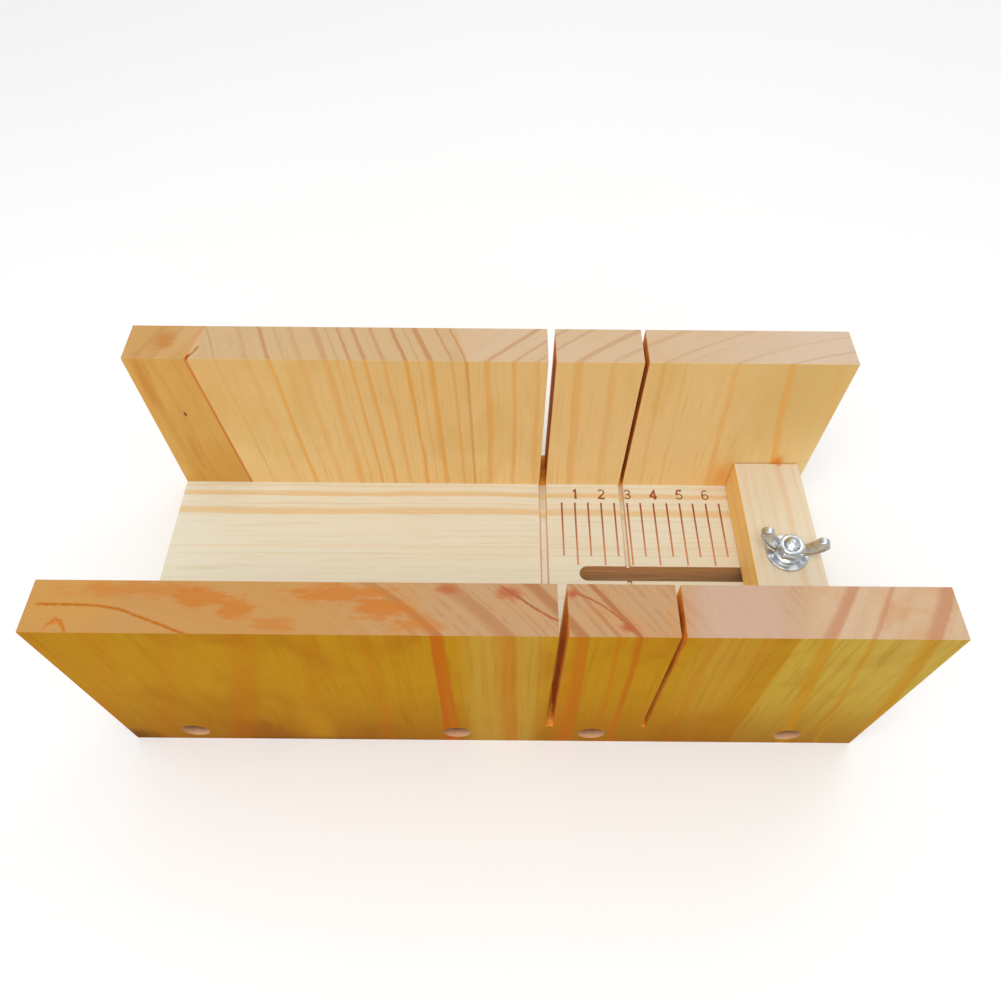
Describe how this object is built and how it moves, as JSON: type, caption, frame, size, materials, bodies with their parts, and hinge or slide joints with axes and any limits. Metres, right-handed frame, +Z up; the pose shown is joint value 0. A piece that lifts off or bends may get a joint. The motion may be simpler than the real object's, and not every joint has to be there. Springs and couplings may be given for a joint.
{
  "type": "soap cutting box",
  "caption": "Wooden channel box with saw slots, an engraved ruler and a sliding stop block held by a wing nut, for slicing soap loaves.",
  "frame": {"origin": "on the table, under the middle of the box", "axes": "+X along the channel from its open end to the stop, +Y from the front wall to the rear wall, +Z up"},
  "size_m": [0.24, 0.11, 0.083],
  "materials": {
    "base_wood": "planed softwood, clear coat, satin",
    "wall_wood": "planed softwood with upright grain, clear coat, satin",
    "stop_wood": "planed softwood, satin",
    "zinc": "bright zinc plate",
    "screw_steel": "yellow zinc plate"
  },
  "bodies": {
    "box": {"base_board": "base_wood", "front_wall": "wall_wood", "rear_wall": "wall_wood", "front_screw_1": "screw_steel", "front_screw_2": "screw_steel", "front_screw_3": "screw_steel", "front_screw_4": "screw_steel", "rear_screw_1": "screw_steel", "rear_screw_2": "screw_steel", "rear_screw_3": "screw_steel", "rear_screw_4": "screw_steel"},
    "stop": {"stop_block": "stop_wood", "washer": "zinc"},
    "nut": {"wing_nut": "zinc"},
    "bolt": {"clamp_bolt": "zinc"}
  },
  "joints": [
    {"name": "stop_slide", "type": "slide", "parent": "box", "child": "stop", "axis": [1, 0, 0], "range_m": [-0.066, 0.002]},
    {"name": "nut_turn", "type": "hinge", "parent": "stop", "child": "nut", "pos_m": [0.1005, 0.00065, 0.032], "axis": [0, 0, 1], "range_deg": [0, 540]},
    {"name": "bolt_drop", "type": "slide", "parent": "stop", "child": "bolt", "axis": [0, 0, -1], "range_m": [0, 0.0012]}
  ],
  "couplings": [
    {"joint": "bolt_drop", "follows": "nut_turn", "m_per_rad": 0.00012732}
  ]
}
